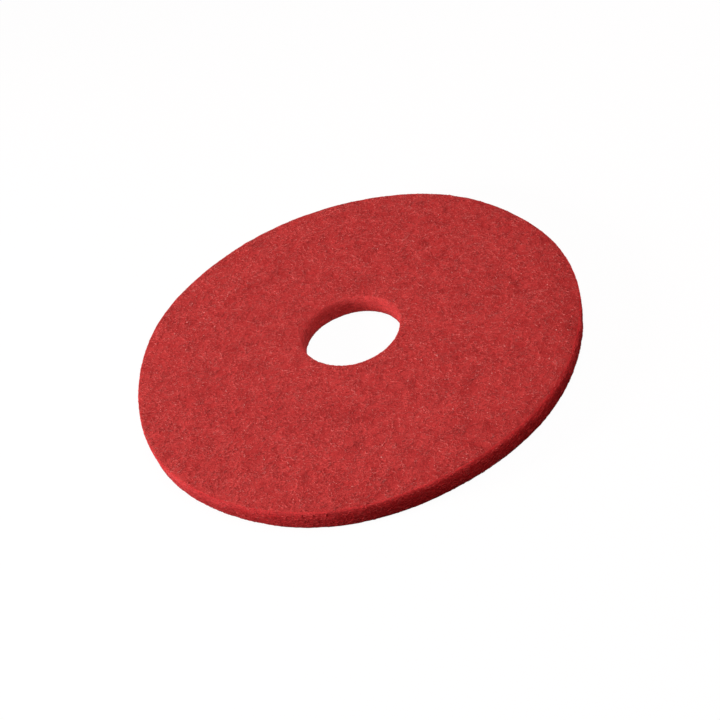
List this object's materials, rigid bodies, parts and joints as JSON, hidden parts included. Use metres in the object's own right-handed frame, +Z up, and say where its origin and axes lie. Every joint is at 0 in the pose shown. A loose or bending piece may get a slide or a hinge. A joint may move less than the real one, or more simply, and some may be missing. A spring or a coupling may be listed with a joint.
{
  "type": "floor pad",
  "caption": "Round red nonwoven buffing and scrubbing pad with a centre hole, the consumable disc that a rotary floor machine's pad driver holds.",
  "frame": {"origin": "on the centre hole's axis, in the plane of the lower face, which rests on the floor", "axes": "+Z up along the hole axis, from the lower face to the upper face; X and Y lie in the plane of the disc and are equivalent"},
  "size_m": [0.406, 0.406, 0.019],
  "materials": {
    "red_fibre_web": "matte, matted crimped fibre with resin glints"
  },
  "bodies": {
    "root": {"nonwoven_pad": "red_fibre_web"}
  },
  "joints": []
}
